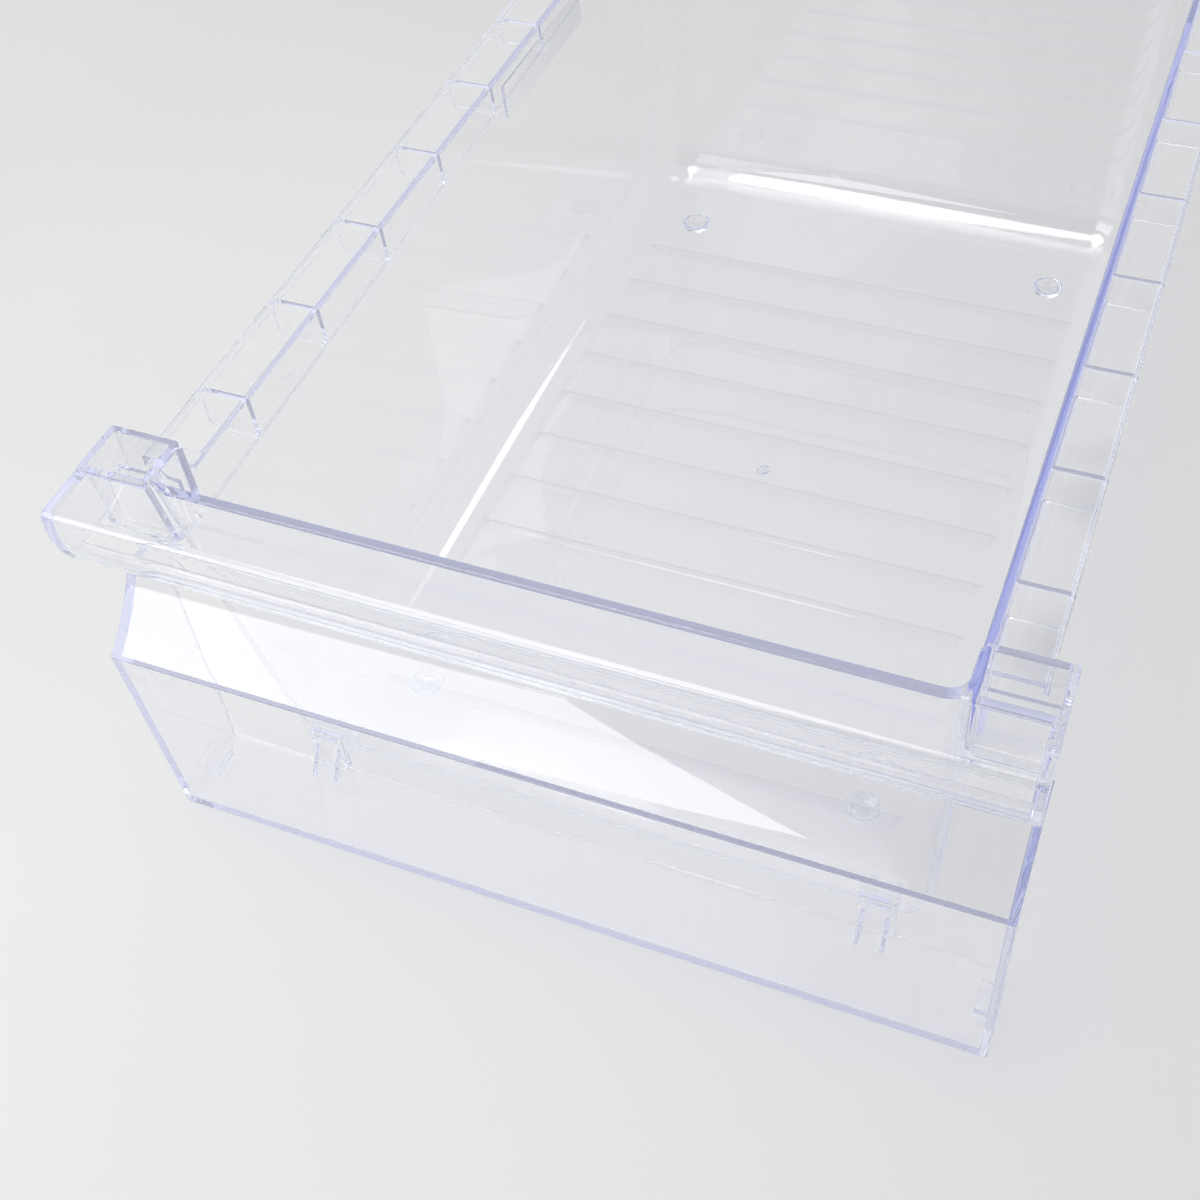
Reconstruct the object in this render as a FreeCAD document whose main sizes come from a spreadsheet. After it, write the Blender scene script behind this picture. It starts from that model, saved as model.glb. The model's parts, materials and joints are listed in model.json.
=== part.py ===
import FreeCAD, Part
import math
import os

import Sketcher
from FreeCAD import Vector

# Clear fridge crisper drawer: a drafted tub with a stepped floor, side rims on ribs,
# two open wells beside the top corners, a finger handle along the front, and a
# hollow front panel that clips on below the handle. Millimetres, +Z up, +Y to the rear.

SIZES = {
    # Overall
    "overall_depth": 455.0,
    "top_height": 167.0,
    "rim_drop": 12.0,
    # Tub
    "tub_wall": 3.0,
    "floor_thickness": 3.0,
    "tub_half_width": 127.5,
    "side_draft_angle": 2.4,
    "front_wall_y": 12.3,
    "front_lean_angle": 8.9,
    "rear_lean_angle": 1.5,
    "floor_radius": 17.0,
    "front_corner_radius": 6.0,
    "rear_corner_radius": 16.0,
    "outer_corner_radius": 1.0,
    "rim_step_length": 8.0,
    # Stepped floor
    "step_rear_gap": 82.7,
    "step_count": 11.0,
    "step_height": 1.1,
    "step_end_inset": 1.0,
    "first_step_y": 81.3,
    # Rim flanges and the ribs below them
    "flange_reach": 17.5,
    "flange_thickness": 2.0,
    "flange_gap": 2.0,
    "flange_lip_drop": 5.0,
    "flange_lip_thickness": 1.6,
    "rear_flange_depth": 7.0,
    "rear_rib_gap": 12.05,
    "rib_count": 8.0,
    "rib_thickness": 2.0,
    "rib_drop": 16.0,
    "rib_rise_angle": 1.34,
    "first_rib_y": 70.1,
    # Corner wells
    "well_reach": 24.5,
    "well_depth": 21.7,
    "well_height": 34.0,
    "well_wall": 2.5,
    "well_rib_drop": 12.0,
    "well_rib_thickness": 1.6,
    "well_rib_count": 2.0,
    # Handle
    "nose_reach": 7.8,
    "handle_thickness": 3.0,
    "handle_end_thickness": 3.6,
    "lip_thickness": 2.6,
    "lip_drop": 23.7,
    "lip_set_back": 3.8,
    "lip_arc_radius": 38.0,
    "curl_width": 6.2,
    "curl_drop": 1.2,
    "curl_radius": 3.7,
    # Front panel and its clip hooks
    "panel_height": 115.5,
    "panel_thickness": 3.0,
    "panel_back_gap": 2.0,
    "crease_height": 94.0,
    "crease_reach": 5.6,
    "slope_depth": 21.3,
    "slope_radius": 67.0,
    "hook_end_gap": 47.5,
    "hook_width": 14.0,
    "hook_thickness": 2.2,
    "hook_height": 22.0,
    "hook_clearance": 0.3,
    # Feet
    "foot_height": 3.5,
    "foot_radius": 7.0,
    "foot_taper": 1.5,
    "foot_side_inset": 37.5,
    "front_foot_y": 83.0,
    "rear_foot_inset": 57.0,
    # Overrun of every cut past the face it opens
    "overrun": 5.0,
}


# Sizes that keep their sheet expression

class Size:
    """A number together with the sheet expression that gives it."""

    def __init__(self, value, text):
        self.value = float(value)
        self.text = text

    def __add__(self, other):
        other = as_size(other)
        return Size(self.value + other.value, "(%s + %s)" % (self.text, other.text))

    def __sub__(self, other):
        other = as_size(other)
        return Size(self.value - other.value, "(%s - %s)" % (self.text, other.text))

    def __mul__(self, other):
        other = as_size(other)
        return Size(self.value * other.value, "(%s * %s)" % (self.text, other.text))

    def __truediv__(self, other):
        other = as_size(other)
        return Size(self.value / other.value, "(%s / %s)" % (self.text, other.text))

    def __neg__(self):
        return as_size(0) - self


def as_size(number):
    if isinstance(number, Size):
        return number
    return Size(number, "(%r)" % float(number))


def tangent(angle):
    return Size(math.tan(math.radians(angle.value)), "tan(%s)" % angle.text)


def bind(feature, prop, size):
    """Give a feature's property a size and the expression behind it."""
    feature.setExpression(prop, as_size(size).text)


# The document and its sheet

doc = FreeCAD.newDocument("crisper_drawer")
sheet = doc.addObject("Spreadsheet::Sheet", "Sizes")
for row, (alias, number) in enumerate(SIZES.items(), start=1):
    sheet.set("A%d" % row, alias)
    sheet.set("B%d" % row, str(number))
    sheet.setAlias("B%d" % row, alias)
doc.recompute()


def size(alias):
    return Size(sheet.get(alias), "Sizes.%s" % alias)


def whole(alias):
    return int(round(sheet.get(alias)))


# Shared places, worked out from the sheet

overrun = size("overrun")
top_height = size("top_height")
rim_height = top_height - size("rim_drop")
wall_half_width = size("tub_half_width") + size("tub_wall")
half_width = wall_half_width + size("well_reach")
flange_half_width = wall_half_width + size("flange_reach")
nose_y = -size("nose_reach")
rear_wall_y = size("overall_depth") - size("rear_flange_depth")
rear_corner_y = rear_wall_y - size("rear_corner_radius") - size("tub_wall")
well_back_y = size("front_wall_y") + size("well_depth")
rim_underside = rim_height - size("flange_thickness")
handle_underside = top_height - size("handle_thickness")
origin_y = (nose_y + size("overall_depth")) / 2


def front_y(height):
    """The front wall's outer face at a height."""
    return size("front_wall_y") + (top_height - height) * tangent(size("front_lean_angle"))


def rear_y(height):
    """The rear wall's outer face at a height."""
    return rear_wall_y + (height - rim_height) * tangent(size("rear_lean_angle"))


def side_x(height):
    """The side wall's outer face at a height."""
    return wall_half_width + (height - rim_height) * tangent(size("side_draft_angle"))


# Drawing helpers

PLANE_OFFSET_SIGN = {"XY_Plane": 1, "XZ_Plane": -1, "YZ_Plane": 1}
REARWARD = Vector(0, 1, 0)
# How far two heights, and two directions in degrees, may differ and count as the same
SAME_HEIGHT = 0.01
SAME_DIRECTION_ANGLE = 25.0


def new_body(label):
    body = doc.addObject("PartDesign::Body", label)
    body.Label = label
    return body


def arc_centre(start, end, radius):
    """Centre of an arc that bulges to the right of the way from start to end,
    or to the left where the radius is negative."""
    chord = end - start
    middle = (start + end) * 0.5
    left = Vector(-chord.y, chord.x, 0).normalize()
    rise = math.sqrt(max(radius * radius - (chord.Length / 2) ** 2, 0.0))
    return middle + left * math.copysign(rise, radius)


def draw_edge(sketch, start, end, radius):
    """Add a line, or an arc where a radius is given; return the ids of its two ends."""
    if radius is None:
        edge = sketch.addGeometry(Part.LineSegment(start, end), False)
        return edge, 1, 2
    centre = arc_centre(start, end, radius.value)
    first, last = (start, end) if radius.value > 0 else (end, start)
    first_angle = math.atan2(first.y - centre.y, first.x - centre.x)
    last_angle = math.atan2(last.y - centre.y, last.x - centre.x)
    circle = Part.Circle(centre, Vector(0, 0, 1), abs(radius.value))
    edge = sketch.addGeometry(Part.ArcOfCircle(circle, first_angle, last_angle), False)
    number = sketch.addConstraint(Sketcher.Constraint("Radius", edge, abs(radius.value)))
    size_text = radius.text if radius.value > 0 else (-radius).text
    sketch.setExpression("Constraints[%d]" % number, size_text)
    return (edge, 1, 2) if radius.value > 0 else (edge, 2, 1)


def draw_outline(sketch, corners):
    """Draw a closed outline. A corner is (u, v), or (u, v, radius) where an arc follows."""
    corners = [tuple(corner) + (None,) * (3 - len(corner)) for corner in corners]
    points = [Vector(as_size(u).value, as_size(v).value, 0) for u, v, _ in corners]
    edges = []
    for index, (_, _, radius) in enumerate(corners):
        following = points[(index + 1) % len(points)]
        edges.append(draw_edge(sketch, points[index], following, radius))
    for index, (edge, start, _) in enumerate(edges):
        before, _, end_before = edges[index - 1]
        sketch.addConstraint(Sketcher.Constraint("Coincident", before, end_before, edge, start))
        for kind, place in zip(("DistanceX", "DistanceY"), corners[index][:2]):
            place = as_size(place)
            constraint = Sketcher.Constraint(kind, -1, 1, edge, start, place.value)
            number = sketch.addConstraint(constraint)
            sketch.setExpression("Constraints[%d]" % number, place.text)


def slab(body, kind, name, plane, outlines, low, high):
    """Pad or pocket closed outlines drawn on a plane, from low to high along its axis."""
    low = as_size(low)
    high = as_size(high)
    sketch = body.newObject("Sketcher::SketchObject", name + "_sketch")
    base = [item for item in body.Origin.OriginFeatures if item.Role == plane][0]
    sketch.AttachmentSupport = [(base, "")]
    sketch.MapMode = "FlatFace"
    bind(sketch, "AttachmentOffset.Base.z", (low + high) / 2 * PLANE_OFFSET_SIGN[plane])
    for corners in outlines:
        draw_outline(sketch, corners)
    feature = body.newObject("PartDesign::" + kind, name)
    feature.Profile = sketch
    feature.SideType = "Symmetric"
    bind(feature, "Length", high - low)
    body.Tip = feature
    return feature


def round_edges(body, name, base, edge_names, radius):
    fillet = body.newObject("PartDesign::Fillet", name)
    fillet.Base = (base, edge_names)
    bind(fillet, "Radius", radius)
    body.Tip = fillet
    doc.recompute()
    return fillet


def is_along(vector, axis):
    """Whether a vector points along an axis, within the angle allowed."""
    return math.degrees(vector.getAngle(axis)) < SAME_DIRECTION_ANGLE


def edge_names_where(shape, wanted):
    return ["Edge%d" % (index + 1) for index, edge in enumerate(shape.Edges) if wanted(edge)]


def end_face_edges(shape, direction, top):
    """The edges around the flat end face that looks along +Y or -Y, without its top edge."""
    def looks_out(face):
        return is_along(face.normalAt(0, 0), Vector(0, direction, 0))
    end = max((face for face in shape.Faces if looks_out(face)), key=lambda face: face.Area)

    def wanted(edge):
        is_top = all(abs(vertex.Z - top) < SAME_HEIGHT for vertex in edge.Vertexes)
        return not is_top and any(edge.isSame(other) for other in end.Edges)
    return edge_names_where(shape, wanted)


# The tub

def trough(name, inset, floor, top, radii):
    """A drafted, rounded block: the tub's outside, or with an inset the space in it."""
    floor_radius, front_radius, rear_radius = radii
    body = new_body(name)
    front = front_y(top + overrun) - overrun
    rear = rear_y(top) + overrun
    section = [
        (side_x(floor) - inset, floor),
        (side_x(top) - inset, top),
        (inset - side_x(top), top),
        (inset - side_x(floor), floor),
    ]
    slab(body, "Pad", name + "_section", "XZ_Plane", [section], front, rear)
    low = floor - overrun
    high = top + overrun
    ahead = [
        (front - overrun, low),
        (front_y(low) + inset, low),
        (front_y(high) + inset, high),
        (front - overrun, high),
    ]
    behind = [
        (rear_y(low) - inset, low),
        (rear + overrun, low),
        (rear + overrun, high),
        (rear_y(high) - inset, high),
    ]
    reach = side_x(top) + overrun
    ends = slab(body, "Pocket", name + "_ends", "YZ_Plane", [ahead, behind], -reach, reach)
    doc.recompute()

    def is_long_floor_edge(edge):
        on_floor = all(abs(vertex.Z - floor.value) < SAME_HEIGHT for vertex in edge.Vertexes)
        tangent_there = edge.tangentAt(edge.FirstParameter)
        is_lengthwise = is_along(tangent_there, REARWARD) or is_along(-tangent_there, REARWARD)
        return on_floor and is_lengthwise
    long_edges = edge_names_where(ends.Shape, is_long_floor_edge)
    sides = round_edges(body, name + "_floor_round", ends, long_edges, floor_radius)
    front_edges = end_face_edges(sides.Shape, -1, top.value)
    fronts = round_edges(body, name + "_front_round", sides, front_edges, front_radius)
    rear_edges = end_face_edges(fronts.Shape, 1, top.value)
    round_edges(body, name + "_rear_round", fronts, rear_edges, rear_radius)
    return body


def tub_outside():
    wall = size("tub_wall")
    radii = (
        size("floor_radius") + wall,
        size("outer_corner_radius"),
        size("rear_corner_radius") + wall,
    )
    return trough("tub_outside", as_size(0), size("foot_height"), top_height, radii)


def tub_space():
    radii = (size("floor_radius"), size("front_corner_radius"), size("rear_corner_radius"))
    floor = size("foot_height") + size("floor_thickness")
    return trough("tub_space", size("tub_wall"), floor, top_height + overrun, radii)


def above_rim():
    """The block cut away above the rim, with a sloped step down behind the wells."""
    body = new_body("above_rim")
    step_y = well_back_y + size("flange_gap") / 2
    high = top_height + overrun
    corners = [
        (step_y, top_height),
        (step_y + size("rim_step_length"), rim_height),
        (size("overall_depth") + overrun, rim_height),
        (size("overall_depth") + overrun, high),
        (step_y, high),
    ]
    slab(body, "Pad", "rim_cut", "YZ_Plane", [corners], -half_width, half_width)
    return body


def floor_steps():
    """A row of low wedges along the floor, each ending in a small drop to the rear."""
    floor = size("foot_height") + size("floor_thickness")
    root = floor - size("floor_thickness") / 2
    count = whole("step_count")
    row_length = size("overall_depth") - size("step_rear_gap") - size("first_step_y")
    start = size("first_step_y") - row_length / (count - 1)
    half = side_x(floor) - size("tub_wall") - size("floor_radius") - size("step_end_inset")
    body = new_body("floor_steps")
    wedge = [
        (start, root),
        (size("first_step_y"), root),
        (size("first_step_y"), floor + size("step_height")),
        (start, floor),
    ]
    pad = slab(body, "Pad", "floor_wedge", "YZ_Plane", [wedge], -half, half)
    doc.recompute()
    rear_axis = [item for item in body.Origin.OriginFeatures if item.Role == "Y_Axis"][0]
    row_of_steps = body.newObject("PartDesign::LinearPattern", "wedge_row")
    row_of_steps.Originals = [pad]
    row_of_steps.Direction = (rear_axis, [""])
    row_of_steps.Occurrences = count
    bind(row_of_steps, "Length", row_length)
    body.Tip = row_of_steps
    return body


def cut(label, base, tool):
    result = doc.addObject("Part::Cut", label)
    result.Base = base
    result.Tool = tool
    return result


def bin_tub(outside):
    walls = cut("tub_walls", cut("tub_open", outside, above_rim()), tub_space())
    tub = doc.addObject("Part::Fuse", "bin_tub")
    tub.Base = walls
    tub.Tool = floor_steps()
    tub.Refine = True
    return tub


# Rim flanges and ribs

def side_flange(label, side):
    body = new_body(label)
    outer = flange_half_width
    lip_x = outer - size("flange_lip_thickness")
    lip_z = rim_height - size("flange_lip_drop")
    corners = [
        (side_x(rim_height) * side, rim_height),
        (outer * side, rim_height),
        (outer * side, lip_z),
        (lip_x * side, lip_z),
        (lip_x * side, rim_underside),
        (side_x(rim_underside) * side, rim_underside),
    ]
    front = well_back_y + size("flange_gap")
    slab(body, "Pad", label + "_strip", "XZ_Plane", [corners], front, rear_corner_y)
    return body


def side_rib(label, side, place_y):
    """A plate between the wall and the flange's lip. The lower edges of the row of
    plates rise towards the rear."""
    body = new_body(label)
    rise = (place_y - size("first_rib_y")) * tangent(size("rib_rise_angle"))
    bottom = rim_underside - size("rib_drop") + rise
    outer = flange_half_width - size("flange_lip_thickness")
    corners = [
        (side_x(rim_underside) * side, rim_underside),
        (outer * side, rim_underside),
        (outer * side, bottom),
        (side_x(bottom) * side, bottom),
    ]
    half = size("rib_thickness") / 2
    slab(body, "Pad", label + "_plate", "XZ_Plane", [corners], place_y - half, place_y + half)
    return body


def box(name, low, high):
    """A Part box between two corners."""
    block = doc.addObject("Part::Box", name)
    for prop, axis, start, end in zip(("Length", "Width", "Height"), "xyz", low, high):
        bind(block, prop, as_size(end) - start)
        bind(block, "Placement.Base.%s" % axis, start)
    return block


def rear_flange(outside):
    outer = flange_half_width
    lip = size("flange_lip_thickness")
    lip_z = rim_height - size("flange_lip_drop")
    back = size("overall_depth")
    block = box("rear_block", (-outer, rear_corner_y, lip_z), (outer, back, rim_height))
    hollow = box(
        "rear_hollow",
        (lip - outer, rear_corner_y - overrun, lip_z - overrun),
        (outer - lip, back - lip, rim_underside),
    )
    return cut("rear_flange", cut("rear_strip", block, hollow), outside)


# Corner wells

def end_well(label, side):
    """An open box beside the tub's top front corner, with low plates across it."""
    body = new_body(label)
    bottom = top_height - size("well_height")
    outside = [
        (side_x(bottom) * side, bottom),
        (half_width * side, bottom),
        (half_width * side, top_height),
        (side_x(top_height) * side, top_height),
    ]
    front = size("front_wall_y") - overrun
    slab(body, "Pad", label + "_block", "XZ_Plane", [outside], front, well_back_y)
    low = bottom - overrun
    high = top_height + overrun
    ahead = [
        (front - overrun, low),
        (front_y(low), low),
        (front_y(high), high),
        (front - overrun, high),
    ]
    near = (side_x(bottom) - overrun) * side
    far = (half_width + overrun) * side
    slab(body, "Pocket", label + "_front", "YZ_Plane", [ahead], *sorted_pair(near, far))
    floor = bottom + size("well_wall")
    wall = size("tub_wall")
    space = [
        (front_y(floor) + wall, floor),
        (well_back_y - size("well_wall"), floor),
        (well_back_y - size("well_wall"), high),
        (front_y(high) + wall, high),
    ]
    far = (half_width - size("well_wall")) * side
    slab(body, "Pocket", label + "_space", "YZ_Plane", [space], *sorted_pair(near, far))
    count = whole("well_rib_count")
    clear_front = front_y(floor) + wall
    spacing = (well_back_y - size("well_wall") - clear_front) / (count + 1)
    for index in range(count):
        place_y = clear_front + spacing * (index + 1)
        well_plate(body, "%s_plate_%d" % (label, index + 1), side, floor, place_y)
    return body


def sorted_pair(one, other):
    return (one, other) if one.value < other.value else (other, one)


def well_plate(body, name, side, floor, place_y):
    high = top_height - size("well_rib_drop")
    outer = half_width - size("well_wall")
    plate = [
        (side_x(floor) * side, floor),
        (outer * side, floor),
        (outer * side, high),
        (side_x(high) * side, high),
    ]
    half = size("well_rib_thickness") / 2
    slab(body, "Pad", name, "XZ_Plane", [plate], place_y - half, place_y + half)


# Handle

# Where a bent sheet's inner corners lie from its outer ones, as shares of its thickness
LIP_END_SHARES = (-0.5, 0.85)
LIP_FOOT_SHARES = (0.95, 0.6)
CREASE_SHARES = (1.0, -0.57)
SLOPE_TOP_SHARES = (0.85, -0.53)


def inner_corner(corner, thickness, shares):
    return corner[0] + thickness * shares[0], corner[1] + thickness * shares[1]


def handle_top():
    body = new_body("handle_top")
    thick = size("handle_thickness")
    corners = [
        (front_y(top_height), top_height),
        (nose_y + thick, top_height, thick),
        (nose_y, handle_underside),
        (front_y(handle_underside), handle_underside),
    ]
    slab(body, "Pad", "handle_plate", "YZ_Plane", [corners], -half_width, half_width)
    return body


def lip_corners():
    """The lip's four lower corners: outer and inner ends of the curled edge."""
    outer_y = nose_y + size("lip_set_back")
    outer_z = top_height - size("lip_drop")
    thick = size("lip_thickness")
    end_y = outer_y + size("curl_width")
    end_z = outer_z - size("curl_drop")
    outer = (outer_y, outer_z)
    end = (end_y, end_z)
    inner_end = inner_corner(end, thick, LIP_END_SHARES)
    return outer, end, inner_end, inner_corner(outer, thick, LIP_FOOT_SHARES)


def handle_lip():
    body = new_body("handle_lip")
    outer, end, inner_end, inner_start = lip_corners()
    thick = size("lip_thickness")
    corners = [
        (nose_y, handle_underside, size("lip_arc_radius")),
        outer + (size("curl_radius"),),
        end,
        inner_end,
        inner_start + (-(size("lip_arc_radius") - thick),),
        (nose_y + thick, handle_underside),
    ]
    slab(body, "Pad", "lip_sheet", "YZ_Plane", [corners], -half_width, half_width)
    return body


def handle_end(label, side):
    """The plate that closes one end of the finger recess behind the lip."""
    body = new_body(label)
    outer, end, inner_end, inner_start = lip_corners()
    thick = size("lip_thickness")
    corners = [
        inner_start + (-(size("lip_arc_radius") - thick),),
        (nose_y + thick, handle_underside),
        (front_y(handle_underside), handle_underside),
        (front_y(inner_end[1]), inner_end[1]),
        inner_end,
    ]
    inner_x = half_width - size("handle_end_thickness")
    pair = sorted_pair(inner_x * side, half_width * side)
    slab(body, "Pad", label + "_plate", "YZ_Plane", [corners], *pair)
    return body


# Front panel

def panel_outside_corners():
    """The panel's face from its lower edge over the crease to the slope's top edge."""
    crease = (-size("crease_reach"), size("crease_height"))
    top = (crease[0] + size("slope_depth"), size("panel_height"))
    return crease, top


def front_panel():
    body = new_body("front_panel")
    thick = size("panel_thickness")
    radius = size("slope_radius")
    depth = front_y(size("hook_height")) - size("panel_back_gap")
    crease, top = panel_outside_corners()
    sheet_corners = [
        (as_size(0), as_size(0)),
        (depth, as_size(0)),
        (depth, thick),
        (thick, thick),
        inner_corner(crease, thick, CREASE_SHARES) + (radius + thick,),
        inner_corner(top, thick, SLOPE_TOP_SHARES),
        top + (-radius,),
        crease,
    ]
    slab(body, "Pad", "panel_sheet", "YZ_Plane", [sheet_corners], -half_width, half_width)
    for name, side in (("left", -1), ("right", 1)):
        end_corners = [
            (as_size(0), as_size(0)),
            (depth, as_size(0)),
            (depth, top[1]),
            top + (-radius,),
            crease,
        ]
        pair = sorted_pair((half_width - thick) * side, half_width * side)
        slab(body, "Pad", "panel_%s_end" % name, "YZ_Plane", [end_corners], *pair)
    return body


def clip_hook(label, side):
    """A tab on the panel's bottom plate that grips the foot of the tub's front wall."""
    back = front_y(size("hook_height")) - size("hook_clearance")
    middle = (half_width - size("hook_end_gap")) * side
    half = size("hook_width") / 2
    return box(
        label,
        (middle - half, back - size("hook_thickness"), size("panel_thickness")),
        (middle + half, back, size("hook_height")),
    )


# Feet

def foot(label, place_x, place_y):
    stud = doc.addObject("Part::Cone", label)
    bind(stud, "Radius1", size("foot_radius") - size("foot_taper"))
    bind(stud, "Radius2", size("foot_radius"))
    bind(stud, "Height", size("foot_height"))
    bind(stud, "Placement.Base.x", place_x)
    bind(stud, "Placement.Base.y", place_y)
    return stud


# Assembly and export

def build_nodes():
    outside = tub_outside()
    nodes = [bin_tub(outside), rear_flange(outside), handle_top(), handle_lip()]
    nodes.append(front_panel())
    last_rib_y = rear_corner_y - size("rear_rib_gap")
    rib_pitch = (last_rib_y - size("first_rib_y")) / (whole("rib_count") - 1)
    rear_foot_y = size("overall_depth") - size("rear_foot_inset")
    foot_places = (("front", size("front_foot_y")), ("rear", rear_foot_y))
    for name, side in (("left", -1), ("right", 1)):
        nodes.append(side_flange(name + "_side_flange", side))
        nodes.append(end_well(name + "_end_well", side))
        nodes.append(handle_end(name + "_handle_end", side))
        nodes.append(clip_hook(name + "_clip_hook", side))
        for index in range(whole("rib_count")):
            place_y = size("first_rib_y") + rib_pitch * index
            nodes.append(side_rib("%s_rib_%d" % (name, index + 1), side, place_y))
        place_x = (size("tub_half_width") - size("foot_side_inset")) * side
        for end, place_y in foot_places:
            nodes.append(foot("%s_%s_foot" % (name, end), place_x, place_y))
    return nodes


def check(nodes):
    doc.recompute()
    failed = [item.Label for item in doc.Objects if {"Invalid", "Error"} & set(item.State)]
    for node in nodes:
        if node.Shape.isNull() or not node.Shape.isValid():
            failed.append(node.Label + " shape")
    if failed:
        raise RuntimeError("failed: " + ", ".join(failed))


def export(nodes):
    """Write each node with the origin under the middle of the whole drawer."""
    os.makedirs("parts", exist_ok=True)
    for node in nodes:
        shape = node.Shape.copy()
        shape.translate(Vector(0, -origin_y.value, 0))
        shape.exportStep("parts/%s.step" % node.Label)


all_nodes = build_nodes()
check(all_nodes)
export(all_nodes)
for node in all_nodes:
    print("%-20s %9.0f mm3  solids %d" % (node.Label, node.Shape.Volume, len(node.Shape.Solids)))
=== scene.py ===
"""Clear refrigerator crisper drawer on a pale table, seen from above its front right."""

import json
from math import cos, exp, hypot, pi, radians, sin, tan

import bmesh
import bpy
from mathutils import Matrix, Vector

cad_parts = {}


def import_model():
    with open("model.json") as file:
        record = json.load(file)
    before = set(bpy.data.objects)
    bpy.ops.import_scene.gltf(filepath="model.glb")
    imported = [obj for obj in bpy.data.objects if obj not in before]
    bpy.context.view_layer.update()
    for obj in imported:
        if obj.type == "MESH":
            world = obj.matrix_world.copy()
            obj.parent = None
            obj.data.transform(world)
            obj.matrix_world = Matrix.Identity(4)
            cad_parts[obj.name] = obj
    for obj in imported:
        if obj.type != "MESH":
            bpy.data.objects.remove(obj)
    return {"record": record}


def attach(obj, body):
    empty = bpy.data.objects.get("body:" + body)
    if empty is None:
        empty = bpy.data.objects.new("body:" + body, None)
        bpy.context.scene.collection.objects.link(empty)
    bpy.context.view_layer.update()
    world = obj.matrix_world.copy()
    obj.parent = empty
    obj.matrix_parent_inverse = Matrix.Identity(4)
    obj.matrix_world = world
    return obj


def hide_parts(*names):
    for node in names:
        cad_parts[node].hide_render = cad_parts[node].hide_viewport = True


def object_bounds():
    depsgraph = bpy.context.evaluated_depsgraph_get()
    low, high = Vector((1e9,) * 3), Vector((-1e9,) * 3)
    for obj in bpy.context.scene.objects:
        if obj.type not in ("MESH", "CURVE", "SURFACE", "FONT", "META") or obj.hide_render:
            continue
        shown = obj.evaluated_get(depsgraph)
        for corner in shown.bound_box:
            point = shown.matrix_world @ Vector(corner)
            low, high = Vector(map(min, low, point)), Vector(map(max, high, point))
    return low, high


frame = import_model()
CAD_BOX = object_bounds()

# Places are in millimetres from the middle of the front panel's lower front edge,
# with +X to the right, +Y to the rear and +Z up. MM turns them into metres.
MM = 0.001
OVERALL_DEPTH = 455.0
ORIGIN_Y = OVERALL_DEPTH - CAD_BOX[1][1] / MM

# Tub
TOP_Z = 167.0
RIM_Z = 155.0
FLOOR_Z = 6.5
UNDERSIDE_Z = 3.5
WALL = 3.0
TUB_HALF = 127.5
SIDE_DRAFT = tan(radians(2.4))
FRONT_LEAN = tan(radians(8.9))
REAR_LEAN = tan(radians(1.5))
FRONT_WALL_Y = 12.3
REAR_WALL_Y = 448.0
SIDE_ROUND = 17.0
FRONT_ROUND = 8.0
REAR_ROUND = 16.0
FRONT_CORNER = 6.0
REAR_CORNER = 18.0
EDGE_ROUND = 0.5

# Rim step behind the wells
STEP_START_Y = 31.0
STEP_END_Y = 43.0

# Floor steps
STEP_PITCH = 29.1
STEP_COUNT = 11
STEP_RISE = 1.1
FIRST_STEP_Y = 81.3
STEP_DROP_LENGTH = 1.2
STEP_END_FADE = 1.5
DROP_LINES = (-1.2, -0.9, -0.6, -0.35, -0.1, 0.15, 0.5, 1.0)
RAMP_LINES = (0.35, 0.7)
# Where the band of painted shade lies before each step's drop, and how wide it is
CREST_OFFSET = 0.5
CREST_WIDTH = 0.9

# Flange and ribs
FLANGE_HALF = 148.0
FLANGE_CORNER = 14.0
FLANGE_THICKNESS = 2.0
FLANGE_FRONT_Y = 36.0
FLANGE_SIDE_END_Y = 425.0
FLANGE_REAR_HALF = 105.0
FLANGE_SINK = 0.1
LIP_DROP = 5.0
LIP_THICKNESS = 1.6
LIP_TOP_ROUND = 1.4
LIP_FOOT_ROUND = 0.5
LIP_INNER_ROUND = 0.6
RIB_PITCH = 49.55
RIB_COUNT = 8
RIB_THICKNESS = 2.0
RIB_DROP = 16.0
RIB_RISE = tan(radians(1.34))
FIRST_RIB_Y = 70.1
RIB_CORNER = 1.2

# Wells
HALF_WIDTH = 155.0
WELL_BACK_Y = 34.0
WELL_BOTTOM_Z = 133.0
WELL_WALL = 2.5
WELL_PLATE_TOP_Z = 155.0
WELL_PLATE_THICKNESS = 1.6
WELL_FOOT_ROUND = 3.0
WELL_FLOOR_ROUND = 1.2
WELL_CORNER = 1.2
WELL_INNER_CORNER = 0.8
WELL_EDGE = 0.4
WELL_FRONT_GAP = 0.1
WELL_SINK = 0.05

# Handle
PLATE_TOP_Z = 166.4
PLATE_THICKNESS = 3.0
NOSE_Y = -7.8
NOSE_ROUND = 3.0
SHEET = 2.6
LIP_RADIUS = 38.0
LIP_FOOT = (-4.0, 143.3)
LIP_END = (2.2, 142.1)
CURL_RADIUS = 3.7
CURL_TIP_RADIUS = 1.35
CURL_INNER_RADIUS = 1.7
# From the lip's outer foot and end to its inner ones
FOOT_TO_INNER = (2.45, 1.6)
END_TO_INNER = (-1.3, 2.2)
NOSE_INNER_ROUND = 1.0
HANDLE_BACK_Y = 14.0
HANDLE_END = 3.6

# Front panel
PANEL = 3.0
CREASE = (-5.6, 94.0)
SLOPE_TOP = (15.7, 115.5)
SLOPE_RADIUS = 67.0
CREASE_ROUND = 0.8
PANEL_DEPTH = 33.0
PANEL_INNER_ROUND = 1.5
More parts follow.
